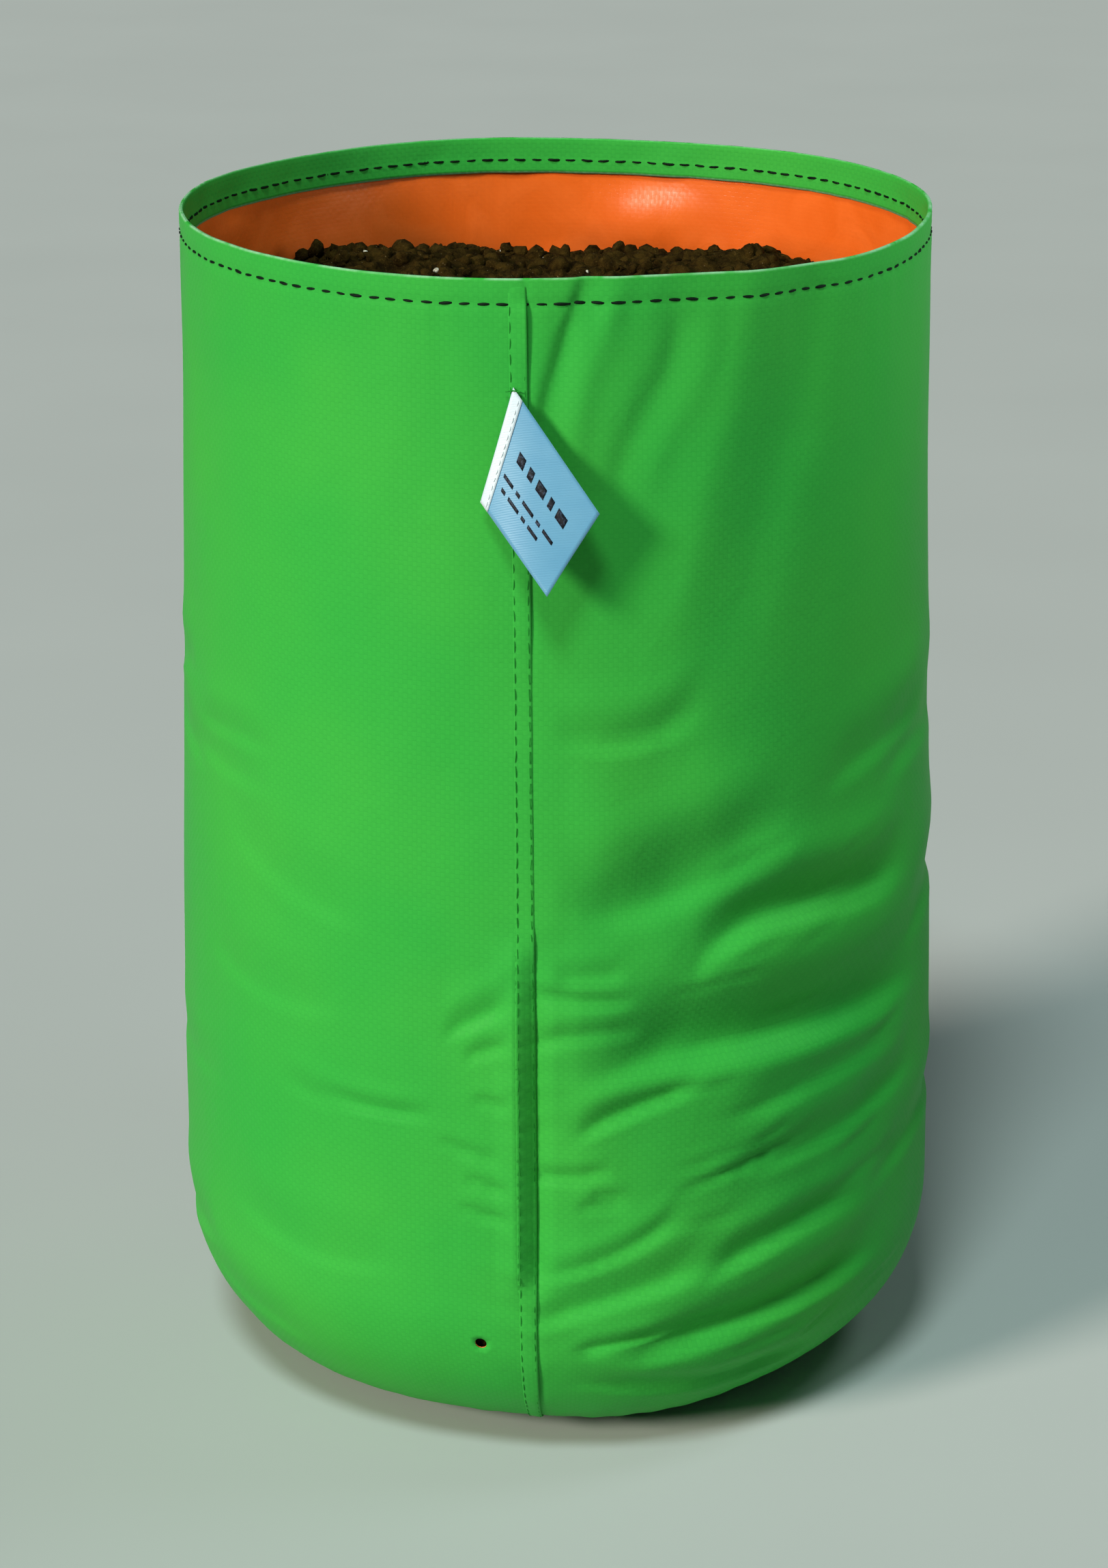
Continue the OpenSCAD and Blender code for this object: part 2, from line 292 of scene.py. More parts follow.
def punch(points, drop, turns, runs, inset):
    """Opens the drain holes: drops the faces inside each and rounds the ring of points about it."""
    row = int(np.argmin(np.abs(runs - hole_run)))
    for turn in hole_turns:
        column = int(np.argmin(np.abs(turns - turn)))
        centre = on_bag(turn, hole_run, inset)
        right = on_bag(turn + 1, hole_run, inset) - centre
        up = on_bag(turn, hole_run + 3 * MM, inset) - centre
        right, up = right / np.linalg.norm(right), up / np.linalg.norm(up)
        drop[row - 2:row + 2, column - 2:column + 2] = True
        for i in range(-2, 3):
            for j in range(-2, 3):
                if max(abs(i), abs(j)) == 2:
                    way = np.array([j, i], float) / math.hypot(i, j)
                    points[row + i, column + j] = centre + hole_radius * (way[0] * right + way[1] * up)


def linked(name, data):
    """Puts a mesh, a lamp or a camera in the scene."""
    made = bpy.data.objects.new(name, data)
    bpy.context.collection.objects.link(made)
    return made


def cloth_mesh(name, points, across, along, drop=None, closed=True):
    """A sheet from rows of points, with its weave's own flat lengths as the map called cloth."""
    rows, columns = points.shape[:2]
    last = columns if closed else columns - 1
    i, j = np.meshgrid(np.arange(rows - 1), np.arange(last), indexing="ij")
    keep = np.ones(i.shape, bool) if drop is None else ~drop[:, :last]
    i, j = i[keep], j[keep]
    k = (j + 1) % columns
    row, above = i * columns, (i + 1) * columns
    quads = np.stack([row + j, row + k, above + k, above + j], 1)
    used = np.unique(quads)
    renumber = np.zeros(rows * columns, int)
    renumber[used] = np.arange(len(used))
    mesh = bpy.data.meshes.new(name)
    mesh.from_pydata(points.reshape(-1, 3)[used].tolist(), [], renumber[quads].tolist())
    corners = np.stack([
        np.stack([across[j], along[i]], 1), np.stack([across[j + 1], along[i]], 1),
        np.stack([across[j + 1], along[i + 1]], 1), np.stack([across[j], along[i + 1]], 1)], 1)
    mesh.uv_layers.new(name="cloth").data.foreach_set("uv", corners.reshape(-1))
    mesh.shade_smooth()
    return linked(name, mesh)


def thicken(piece, thickness):
    """Gives a sheet its thickness, inwards from its face."""
    solid = piece.modifiers.new("thickness", "SOLIDIFY")
    solid.thickness, solid.offset, solid.use_even_offset = thickness, -1, False


def add(tree, kind, values=None, **settings):
    """Adds a node. A value that is another node's socket is linked; anything else is set."""
    made = tree.nodes.new(kind)
    for key, setting in settings.items():
        setattr(made, key, setting)
    for key, value in (values or {}).items():
        if isinstance(value, bpy.types.Node):
            value = value.outputs[0]
        if isinstance(value, bpy.types.NodeSocket):
            tree.links.new(value, made.inputs[key])
        else:
            made.inputs[key].default_value = value
    return made


def maths(tree, operation, a, b=0.0, c=0.0):
    return add(tree, "ShaderNodeMath", {0: a, 1: b, 2: c}, operation=operation)


def mixed(tree, share, a, b):
    """A colour between two colours."""
    made = add(tree, "ShaderNodeMix", {"Factor": share}, data_type="RGBA")
    for key, value in (("A_Color", a), ("B_Color", b)):
        socket = next(s for s in made.inputs if s.identifier == key)
        if isinstance(value, bpy.types.NodeSocket):
            tree.links.new(value, socket)
        else:
            socket.default_value = (*value, 1)
    return next(s for s in made.outputs if s.identifier == "Result_Color")


def ramp(tree, value, low, high, to_low=0.0, to_high=1.0):
    return add(tree, "ShaderNodeMapRange",
               {"Value": value, "From Min": low, "From Max": high, "To Min": to_low, "To Max": to_high})


def material_named(name, roughness, specular=0.5, sheen=0.0):
    material = bpy.data.materials.new(name)
    material.use_nodes = True
    shader = material.node_tree.nodes["Principled BSDF"]
    shader.inputs["Roughness"].default_value = roughness
    shader.inputs["Specular IOR Level"].default_value = specular
    shader.inputs["Sheen Weight"].default_value = sheen
    return material, material.node_tree, shader


def cloudy(tree, spot, scale, detail=2.0, **more):
    """Soft random mottling."""
    return add(tree, "ShaderNodeTexNoise", {"Vector": spot, "Scale": scale, "Detail": detail, **more})


def coloured(tree, shader, colour, relief=None):
    """Gives a material its colour and its fine relief."""
    tree.links.new(colour, shader.inputs["Base Color"])
    if relief is not None:
        tree.links.new(relief.outputs[0], shader.inputs["Normal"])


def tape_weave(tree, tape):
    """Plain weave of flat tapes: 1 on a tape's crown and 0 between tapes, and which way the tape runs."""
    place_on_cloth = add(tree, "ShaderNodeUVMap", uv_map="cloth")
    counted = add(tree, "ShaderNodeVectorMath", {0: place_on_cloth, "Scale": 1 / tape}, operation="SCALE")
    parts = add(tree, "ShaderNodeSeparateXYZ", {0: counted})
    crowns, cells = [], []
    for axis in (0, 1):
        wave = maths(tree, "SINE", maths(tree, "MULTIPLY", parts.outputs[axis], math.pi))
        crowns.append(maths(tree, "POWER", maths(tree, "ABSOLUTE", wave), 0.6))
        cells.append(maths(tree, "FLOOR", parts.outputs[axis]))
    warp = maths(tree, "PINGPONG", maths(tree, "ADD", cells[0], cells[1]), 1.0)
    gap = maths(tree, "SUBTRACT", crowns[1], crowns[0])
    return maths(tree, "MULTIPLY_ADD", gap, warp, crowns[0]), warp


def bumped(tree, height, distance, strength, under=None):
    made = add(tree, "ShaderNodeBump", {"Height": height, "Distance": distance, "Strength": strength})
    if under is not None:
        tree.links.new(under.outputs[0], made.inputs["Normal"])
    return made


def woven_cloth():
    """Laminated tape cloth: a tight weave under a thin skin, with crinkles and uneven dye, painted shade in
    the gaps between tapes and a painted highlight along the rim's crest.
    """
    material, tree, shader = material_named("green woven cloth", 0.55, 0.06)
    deep, bright, fresh = (0.010, 0.20, 0.035), (0.036, 0.39, 0.052), (0.052, 0.42, 0.052)
    cloth = add(tree, "ShaderNodeUVMap", uv_map="cloth")
    crown, warp = tape_weave(tree, 2.3 * MM)
    crinkle = cloudy(tree, cloth, 55.0, 3.0, Roughness=0.55, Distortion=0.4)
    fine = cloudy(tree, cloth, 260.0)
    patches = cloudy(tree, cloth, 7.0)
    dye_and_painted_light = mixed(tree, ramp(tree, patches, 0.35, 0.68), bright, fresh)
    up_cloth = add(tree, "ShaderNodeSeparateXYZ", {0: cloth}).outputs[1]
    off_crest = maths(tree, "ABSOLUTE", maths(tree, "SUBTRACT", up_cloth, wall_run + 1.3 * fold_radius))
    # painted highlight: the cloth is paled along the rim's crest, where its fold catches the light, broken up
    # by the crinkles
    crest_glint = ramp(tree, off_crest, 1.5 * MM, 0.4 * MM, 0.0, 0.65)
    painted_crest_glint = maths(tree, "MULTIPLY", crest_glint, ramp(tree, crinkle, 0.36, 0.56))
    raw_edge = ramp(tree, up_cloth, raw_edge_run - 1.1 * MM, raw_edge_run - 0.7 * MM, 0.0, 0.5)
    # mixes in the painted crest highlight, and the pale raw edge of the hem, which is the cut edge's own
    # colour
    dye_and_painted_light = mixed(tree, maths(tree, "MAXIMUM", painted_crest_glint, raw_edge).outputs[0], dye_and_painted_light, (0.42, 0.70, 0.48))
    # painted shade: the gaps between the tapes are darkened towards the deep green
    gap_shade = ramp(tree, crown, 0.0, 0.75, 0.18, 0.0)
    dye_and_painted_light = mixed(tree, gap_shade.outputs[0], dye_and_painted_light, deep)
    dye_and_painted_light = mixed(tree, maths(tree, "MULTIPLY", warp, 0.07).outputs[0], dye_and_painted_light, deep)
    rough = ramp(tree, patches, 0.3, 0.7, 0.42, 0.55)
    tree.links.new(rough.outputs[0], shader.inputs["Roughness"])
    skin = bumped(tree, crinkle, 1.2 * MM, 0.35)
    skin = bumped(tree, fine, 0.3 * MM, 0.2, skin)
    coloured(tree, shader, dye_and_painted_light, bumped(tree, crown, 0.14 * MM, 0.3, skin))
    return material


green_cloth = woven_cloth()

wall_points = on_bag(grid_turns[None, :], grid_runs[:, None])
wall_drop = np.zeros((len(grid_runs) - 1, len(grid_turns)), bool)
punch(wall_points, wall_drop, grid_turns, grid_runs, 0.0)


def round_fold(angles):
    """Offsets inwards and upwards round the fold at the rim."""
    return [(fold_radius * (1 - math.cos(a)), fold_radius * math.sin(a)) for a in np.radians(angles)]


crest = round_fold([0, 30, 60, 90])
wall_points = np.concatenate([wall_points, over_rim(grid_turns, crest)])
wall_drop = np.concatenate([wall_drop, np.zeros((len(crest), len(grid_turns)), bool)])
cloth_turns = np.append(grid_turns, grid_turns[0] + 360) * arc_per_degree
wall_lengths = np.append(grid_runs, wall_run + fold_radius * np.radians([0.5, 30, 60, 90]))
wall = cloth_mesh("wall_cloth", wall_points, cloth_turns, wall_lengths, wall_drop)
wall.data.materials.append(green_cloth)
thicken(wall, cloth_thickness)
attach(wall, "bag")
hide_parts("wall_outer_weave", "wall_weave_above_soil")

# ---- Rim hem --------------------------------------------------------------------------
# The wall's own top edge, turned in over the rim and down inside it, so a green band
# shows above the orange lining. Its raw edge is sewn down by the row of hem stitches.

hem_lean = 0.5 * MM
turned = round_fold([90, 120, 150, 180])
hem_rows = np.array([0.12, 0.25, 0.4, 0.5, 0.58, 0.66, 0.76, 0.88, 1.0])
pulled = 0.4 * MM * np.exp(-(((hem_rows * hem_depth - 11 * MM) / (2.5 * MM)) ** 2))
down = [(2 * fold_radius + hem_lean * share - pull, -share * (hem_depth - fold_radius))
        for share, pull in zip(hem_rows, pulled)]
turned_lengths = fold_radius * np.radians([90, 120, 150, 180])
hem_lengths = wall_run + np.append(turned_lengths, fold_radius * math.pi + hem_rows * hem_depth)
hem_ripple = 0.35 * MM
hem = cloth_mesh("rim_hem", over_rim(grid_turns, turned + down, hem_ripple), cloth_turns, hem_lengths)
hem.data.materials.append(green_cloth)
thicken(hem, cloth_thickness)
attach(hem, "bag")
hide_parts("rim_hem_band")

# ---- Lining film ----------------------------------------------------------------------
# Orange film bonded to the inside of the wall cloth. It is smoother and glossier than
# the woven face, and the tapes show through it only as a faint ribbing.

film_inset = 0.9 * MM
film_thickness = 0.15 * MM
film_top = wall_run - 5 * MM
soil_run = corner_run + soil_level - corner_radius
film_runs = np.append(grid_runs[grid_runs < film_top], film_top)


def lining_film():
    material, tree, shader = material_named("orange lining film", 0.3, 0.5)
    shader.inputs["Coat Weight"].default_value = 0.4
    shader.inputs["Coat Roughness"].default_value = 0.22
    cloth = add(tree, "ShaderNodeUVMap", uv_map="cloth")
    crown, _ = tape_weave(tree, 2.3 * MM)
    crinkle = cloudy(tree, cloth, 38.0, 4.0, Distortion=0.8)
    stain = cloudy(tree, cloth, 14.0, 3.0)
    parts = add(tree, "ShaderNodeSeparateXYZ", {0: cloth})
    splash = ramp(tree, parts.outputs[1], soil_run + 14 * MM, soil_run - 2 * MM, 0.0, 0.5)
    dusty = maths(tree, "MULTIPLY", splash, ramp(tree, stain, 0.4, 0.7))
    colour = mixed(tree, ramp(tree, crinkle, 0.35, 0.7), (0.88, 0.135, 0.012), (0.95, 0.16, 0.02))
    colour = mixed(tree, dusty.outputs[0], colour, (0.22, 0.06, 0.015))
    skin = bumped(tree, crinkle, 1.5 * MM, 0.35)
    coloured(tree, shader, colour, bumped(tree, crown, 0.1 * MM, 0.25, skin))
    return material


# above the soil the film hangs a little slack, except at the seam, and bulges once at the back
film_turns, film_height = grid_turns[None, :], section(film_runs)[1][:, None] / MM
waves = ripples(film_turns, film_height, 61, (4, 17), (20, 90), 14)
slack = 0.9 * window(film_height, 540, 588, 26) * np.clip(0.6 + 0.6 * waves, 0, None)
slack = slack * (1 - window(film_turns, -7, 8, 4))
bulge_turn, bulge_depth = 168, 5.5
bulge = np.exp(-(((film_turns - bulge_turn) / 8) ** 2)) * window(film_height, 548, 578, 22)
slack = slack + bulge_depth * bulge
film_points = on_bag(film_turns, film_runs[:, None], film_inset + slack * MM)
film_drop = np.zeros((len(film_runs) - 1, len(grid_turns)), bool)
punch(film_points, film_drop, grid_turns, film_runs, film_inset)
film = cloth_mesh("wall_lining", film_points, cloth_turns, film_runs, film_drop)
film.data.materials.append(lining_film())
thicken(film, film_thickness)
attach(film, "bag")
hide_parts("wall_inner_film")

# ---- Side seam ------------------------------------------------------------------------
# The right-hand edge of the cloth runs under the left-hand one, which is turned and laid
# over it as a flat lap. Inside, the other turned edge makes a matching green strip.


def seam_strip(name, node, rows, run_low, run_high, insets, edge_lift=0.0):
    """A strip along the seam's lap, lifting a little along its free right edge."""
    across = lap_width * np.linspace(-1, 0, len(insets))
    runs = np.linspace(run_low, run_high, rows)
    height = section(runs)[1]
    turns = across[None, :] / arc_per_degree + seam_turn(height)[:, None]
    height = height / MM
    held = np.interp(height, [100, 290, 310, 410, 450, 550, 575, 596, 600],
                     [0.6, 0.6, 0, 0, 0.5, 0.6, 1.6, 1.6, 0])
    proud = np.interp(height, [285, 300, 415, 445, 598, 604], [1, 0.15, 0.15, 1, 1, 0.5])
    buried = 0.6 * window(height, 606, 700, 4)
    loose = np.clip(held + 0.35 * ripples(0.0, height, 41, (1, 2), (20, 130), 14), 0, None)
    raised = edge_lift * np.linspace(0, 1, len(insets)) ** 2 * (loose * proud)[:, None]
    points = on_bag(turns, runs[:, None], (np.array(insets) * proud[:, None] + buried[:, None]) * MM)
    outward = points * (1, 1, 0)
    outward /= np.linalg.norm(outward, axis=2, keepdims=True)
    strip = cloth_mesh(name, points + outward * raised[:, :, None], across, runs, closed=False)
    strip.data.materials.append(green_cloth)
    thicken(strip, cloth_thickness)
    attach(strip, "bag")
    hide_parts(node)


seam_strip("seam_lap", "side_seam_overlap", rows=260, run_low=7 * MM, run_high=wall_run - 1 * MM,
           insets=[0.15, -0.2, -0.5, -0.6, -0.6, -0.6, -0.6, -0.6, -0.6], edge_lift=1.2 * MM)
seam_strip("seam_turned_edge", "side_seam_turned_edge", rows=200, run_low=9 * MM,
           run_high=wall_run - 18 * MM, insets=[1.6] * 6)

# ---- Base -----------------------------------------------------------------------------
# A round of the same cloth and film, flat under the soil and curving up to the wall's
# foot, with both raw edges turned in and sewn together under the soil.

base_edge_radius = flat_radius + corner_radius * math.sin(base_seam_angle)


def base_round(name, node, inset, inner_radius, material, thickness, rings):
    """A disc or a ring of cloth on the base, curving up at its edge like the wall's foot."""
    radii = np.linspace(inner_radius, base_edge_radius - inset, rings)
    turns = np.arange(180) * 2.0
    bend = np.arcsin(np.clip((radii - flat_radius) / (corner_radius - inset), 0, 1))
    heights = np.where(radii > flat_radius, corner_radius - (corner_radius - inset) * np.cos(bend), inset)
    wave = np.abs(0.25 * MM * ripples(turns[None, :], 0.0, 51, (3, 9), (0, 1)))
    wave = wave * (radii[:, None] < 0.9 * flat_radius)
    points = place(turns[None, :], radii[:, None], heights[:, None] + wave)
    piece = cloth_mesh(name, points, np.append(turns, 360) * arc_per_degree, radii)
    if inner_radius < 1 * MM:
        # a disc is closed at its middle with a fan of faces
        middle = len(piece.data.vertices)
        vertices = [tuple(v.co) for v in piece.data.vertices] + [(0, 0, inset)]
        faces = [tuple(p.vertices) for p in piece.data.polygons]
        faces += [(middle, (j + 1) % len(turns), j) for j in range(len(turns))]
        piece.data = bpy.data.meshes.new(name)
        piece.data.from_pydata(vertices, [], faces)
        piece.data.uv_layers.new(name="cloth")
    spots = [piece.data.vertices[loop.vertex_index].co for loop in piece.data.loops]
    piece.data.uv_layers["cloth"].data.foreach_set("uv", [c for spot in spots for c in spot[:2]])
    piece.data.shade_smooth()
    piece.data.materials.append(material)
    thicken(piece, thickness)
    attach(piece, "bag")
    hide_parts(node)
    return piece


base = base_round("base_cloth", "base_outer_weave", 0.0, 0.5 * MM,
                  green_cloth, cloth_thickness, rings=40)
base_round("base_lining", "base_inner_film", 0.6 * MM, 0.5 * MM,
           film.data.materials[0], film_thickness, rings=30)
allowance = 13 * MM
base_round("base_seam_allowance_cloth", "base_seam_allowance", 1.0 * MM,
           base_edge_radius - allowance, green_cloth, cloth_thickness, rings=8)

# ---- Stitching ------------------------------------------------------------------------
# Lockstitch in dark thread: two close rows down the side seam, one row round the hem that
# shows on both faces, and one where wall and base meet. Each stitch sinks at both ends.


def tree_with_inputs(tree_name, *numbers):
    """A node tree from mesh to mesh, with inputs for some numbers, a seed and a material."""
    tree = bpy.data.node_groups.new(tree_name, "GeometryNodeTree")
    face = tree.interface
    face.new_socket("Geometry", in_out="INPUT", socket_type="NodeSocketGeometry")
    for name, kind in [(n, "Float") for n in numbers] + [("Seed", "Int"), ("Material", "Material")]:
        face.new_socket(name, in_out="INPUT", socket_type="NodeSocket" + kind)
    face.new_socket("Geometry", in_out="OUTPUT", socket_type="NodeSocketGeometry")
    return tree, add(tree, "NodeGroupInput").outputs


def give_mesh(tree, mesh, material):
    """Ends a node tree: its mesh is smooth-shaded and takes its material."""
    smooth = add(tree, "GeometryNodeSetShadeSmooth", {0: mesh})
    done = add(tree, "GeometryNodeSetMaterial", {"Geometry": smooth, "Material": material})
    tree.links.new(done.outputs[0], add(tree, "NodeGroupOutput").inputs[0])
    return tree


def lockstitch_tree():
    tree, given = tree_with_inputs("lockstitch", "Pitch", "Stitch length", "Thread", "Loft", "Unevenness")
    row = add(tree, "GeometryNodeMeshToCurve", {"Mesh": given["Geometry"]})
    points = add(tree, "GeometryNodeResampleCurve", {"Curve": row, "Length": given["Pitch"]}, mode="LENGTH")
    outward = add(tree, "GeometryNodeInputNamedAttribute", {"Name": "outward"}, data_type="FLOAT_VECTOR")
    turn = add(tree, "FunctionNodeAxesToRotation",
               {"Primary Axis": add(tree, "GeometryNodeInputTangent"), "Secondary Axis": outward},
               primary_axis="X", secondary_axis="Z")
    half = maths(tree, "MULTIPLY", given["Stitch length"], 0.5)
    back = maths(tree, "MULTIPLY", given["Stitch length"], -0.5)
    deep = maths(tree, "MULTIPLY", given["Thread"], -0.9)
    start = add(tree, "ShaderNodeCombineXYZ", {"X": back, "Z": deep})
    middle = add(tree, "ShaderNodeCombineXYZ", {"Z": given["Loft"]})
    end = add(tree, "ShaderNodeCombineXYZ", {"X": half, "Z": deep})
    bow = add(tree, "GeometryNodeCurveQuadraticBezier",
              {"Resolution": 6, "Start": start, "Middle": middle, "End": end})
    round_thread = add(tree, "GeometryNodeCurvePrimitiveCircle",
                       {"Resolution": 6, "Radius": maths(tree, "MULTIPLY", given["Thread"], 0.5)})
    thread = add(tree, "GeometryNodeCurveToMesh",
                 {"Curve": bow, "Profile Curve": round_thread, "Fill Caps": True})
    slack = maths(tree, "MULTIPLY", given["Unevenness"], -1.0)
    wobble = add(tree, "FunctionNodeRandomValue", {0: slack, 1: given["Unevenness"], "Seed": given["Seed"]},
                 data_type="FLOAT_VECTOR")
    turn = add(tree, "FunctionNodeRotateRotation",
               {"Rotation": turn, "Rotate By": add(tree, "FunctionNodeEulerToRotation", {0: wobble})},
               rotation_space="LOCAL")
    size = add(tree, "FunctionNodeRandomValue", {2: 0.8, 3: 1.12, "Seed": given["Seed"]})
    stitches = add(tree, "GeometryNodeInstanceOnPoints",
                   {"Points": points, "Instance": thread, "Rotation": turn, "Scale": size.outputs[1]})
    real = add(tree, "GeometryNodeRealizeInstances", {0: stitches})
    return give_mesh(tree, real, given["Material"])


def grown(name, mesh, tree, inputs):
    """A plain mesh made by a node tree on a mesh."""
    carrier = linked(name + "_source", mesh)
    maker = carrier.modifiers.new("maker", "NODES")
    maker.node_group = tree
    for socket in tree.interface.items_tree:
        if socket.item_type == "SOCKET" and socket.in_out == "INPUT" and socket.name in inputs:
            maker[socket.identifier] = inputs[socket.name]
    seen = carrier.evaluated_get(bpy.context.evaluated_depsgraph_get())
    baked = bpy.data.meshes.new_from_object(seen)
    bpy.data.objects.remove(carrier)
    return linked(name, baked)


lockstitch = lockstitch_tree()


def sew(name, node, points, outward, closed, material, pitch, length, thread, seed,
        body="bag"):
    """A row of stitches along points, standing out from the cloth."""
    count = len(points)
    edges = [(i, i + 1) for i in range(count - 1)] + ([(count - 1, 0)] if closed else [])
    row = bpy.data.meshes.new(name)
    row.from_pydata(points.tolist(), edges, [])
    row.attributes.new("outward", "FLOAT_VECTOR", "POINT").data.foreach_set("vector", outward.reshape(-1))
    piece = grown(name, row, lockstitch, {
        "Pitch": pitch, "Stitch length": length, "Thread": thread, "Loft": 0.9 * thread,
        "Unevenness": 0.09, "Seed": seed, "Material": material})
    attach(piece, body)
    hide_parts(node)


def thread_material(name, colour, pale):
    material, tree, shader = material_named(name, 0.6, 0.12)
    spot = add(tree, "ShaderNodeTexCoord").outputs["Object"]
    ply = add(tree, "ShaderNodeTexWave", {"Vector": spot, "Scale": 900.0, "Distortion": 2.0},
              bands_direction="DIAGONAL")
    twist = bumped(tree, ply.outputs[1], 0.1 * MM, 0.5)
    coloured(tree, shader, mixed(tree, ply.outputs[1], colour, pale), twist)
    return material


hem_thread = thread_material("hem thread", (0.0008, 0.004, 0.0015), (0.002, 0.012, 0.004))
seam_thread = thread_material("seam thread", (0.012, 0.20, 0.022), (0.024, 0.32, 0.034))
ring_turns = np.arange(-100, 260, 1.5)
radial = place(ring_turns, 1.0, 0.0)
hem_run = wall_run - (bag_height - fold_radius - hem_stitch_height)
hem_pitch = 9 * MM
outer_row = on_bag(ring_turns, hem_run, -0.1 * MM)
sew("hem_stitching_outside", "hem_stitches_outside", outer_row, radial, True, hem_thread,
    hem_pitch, length=7.4 * MM, thread=1.5 * MM, seed=2)
inner_face = 2 * fold_radius + 0.5 * hem_lean + cloth_thickness - 0.35 * MM
inner_row = over_rim(ring_turns, [(inner_face, -10.9 * MM)], hem_ripple)[0]
sew("hem_stitching_inside", "hem_stitches_inside", inner_row, -radial, True, hem_thread,
    hem_pitch, length=6.7 * MM, thread=1.3 * MM, seed=3)


def seam_row(name, node, arc, run_low, run_high, inset, seed, side=1):
    runs = np.arange(run_low, run_high, 3 * MM)
    _, height, bend = section(runs)
    turn = arc / arc_per_degree + seam_turn(height)
    outward = side * np.stack([0 * bend, -np.sin(bend), -np.cos(bend)], 1)
    sew(name, node, on_bag(turn, runs, inset), outward, False, seam_thread,
        pitch=7.5 * MM, length=5.2 * MM, thread=0.55 * MM, seed=seed)


seam_from, seam_to = 12 * MM, hem_run - 2 * MM
seam_row("seam_edge_stitching", "seam_edge_stitches", -1.3 * MM, seam_from, seam_to, -1.0 * MM, seed=4)
seam_row("seam_second_stitching", "seam_second_stitches", -7.8 * MM, seam_from, seam_to, -0.55 * MM, seed=5)
seam_row("seam_stitching_inside", "seam_stitches_inside", -4.5 * MM, soil_run, wall_run - 20 * MM,
         film_inset + 1.2 * MM, seed=6, side=-1)

foot_run = 3 * MM
foot_turns = np.arange(-100, 260, 2.0)
foot_bend = float(section(foot_run)[2])
foot_out = place(foot_turns, math.sin(foot_bend), -math.cos(foot_bend))
sew("base_seam_stitching", "base_seam_stitches", on_bag(foot_turns, foot_run), foot_out, True, seam_thread,
    pitch=9 * MM, length=6 * MM, thread=0.6 * MM, seed=7)

# ---- Potting soil ---------------------------------------------------------------------
# Dark, damp, fibrous mix filling the bag to 57 mm below the rim. Its surface is lumpy,
# and lies against the lining all round.

soil_gap = 3.5 * MM
lump_height = 5.5 * MM
# Heaps and hollows: where (x, y), how wide and how high
heaps = [(-0.108, 0.098, 0.045, 10 * MM), (0.10, 0.098, 0.045, 9 * MM),
         (-0.01, 0.13, 0.05, -5 * MM), (0.165, 0.03, 0.045, -7 * MM)]


def heap(x, y, at_x, at_y, reach, rise):
    return rise * math.exp(-((x - at_x) ** 2 + (y - at_y) ** 2) / reach**2)


def soil_height(x, y):
    spot = Vector((x, y, 0))
    crown = 8 * MM * min(1, max(0, (172 * MM - math.hypot(x, y)) / (35 * MM)))
    rise = crown + sum(heap(x, y, *each) for each in heaps)
    wide = noise.fractal(spot * 24, 0.9, 2.2, 3)
    small = noise.turbulence(spot * 95 + Vector((3, 1, 7)), 3, False)
    return soil_level - 1.5 * MM + rise + lump_height * (0.75 * wide + 0.9 * (small - 0.5))


def potting_mix():
    material, tree, shader = material_named("damp potting soil", 0.95, 0.05)
    dark, brown, pale = (0.010, 0.005, 0.0006), (0.045, 0.025, 0.004), (0.11, 0.065, 0.016)
    spot = add(tree, "ShaderNodeTexCoord").outputs["Object"]
    clods = cloudy(tree, spot, 130.0, 6.0, Roughness=0.65)
    fibres = cloudy(tree, spot, 420.0, 3.0, Distortion=3.0)
    flecks = add(tree, "ShaderNodeTexVoronoi", {"Vector": spot, "Scale": 300.0})
    colour = mixed(tree, ramp(tree, clods, 0.38, 0.62), dark, brown)
    colour = mixed(tree, ramp(tree, fibres, 0.60, 0.72, 0.0, 0.55), colour, pale)
    colour = mixed(tree, ramp(tree, flecks, 0.09, 0.05, 0.0, 0.5), colour, (0.30, 0.22, 0.12))
    skin = bumped(tree, clods, 3 * MM, 0.8)
    coloured(tree, shader, colour, bumped(tree, fibres, 1 * MM, 0.6, skin))
    return material


def ring_faces(rings, around):
    """Faces between closed rings of points."""
    return [(i * around + j, i * around + k, (i + 1) * around + k, (i + 1) * around + j)
            for i in range(rings - 1) for j in range(around) for k in [(j + 1) % around]]


soil_mix = potting_mix()
soil_turns = np.arange(240) * 1.5
shelf_run = soil_run - 12 * MM
soil_wall = on_bag(soil_turns, shelf_run, film_inset + 0.6 * MM)
soil_edge = np.hypot(soil_wall[:, 0], soil_wall[:, 1])
low_runs = np.linspace(2 * MM, shelf_run, 90)
soil_rows = list(on_bag(soil_turns[None, :], low_runs[:, None], soil_gap))
for share in np.linspace(1, 0.015, 72):
    flat = place(soil_turns, soil_edge * share, 0.0)
    heights = [soil_height(x, y) for x, y, _ in flat]
    soil_rows.append(np.stack([flat[:, 0], flat[:, 1], heights], 1))
soil_points = np.array(soil_rows).reshape(-1, 3).tolist()
ring_size = len(soil_turns)
soil_faces = ring_faces(len(soil_rows), ring_size)
top_centre, last_ring = len(soil_points), (len(soil_rows) - 1) * ring_size
soil_points += [[0, 0, soil_height(0, 0)], [0, 0, soil_gap]]
soil_faces += [(last_ring + j, last_ring + (j + 1) % ring_size, top_centre) for j in range(ring_size)]
soil_faces += [((j + 1) % ring_size, j, top_centre + 1) for j in range(ring_size)]
soil_mesh = bpy.data.meshes.new("soil")
soil_mesh.from_pydata(soil_points, [], soil_faces)
soil_mesh.shade_smooth()
soil = linked("soil", soil_mesh)
soil_mesh.materials.append(soil_mix)
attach(soil, "bag")
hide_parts("potting_soil")

# ---- Crumbs and perlite ---------------------------------------------------------------
# Loose clods of the mix lie all over its surface, most of them small, with a few white
# grains of perlite among them.


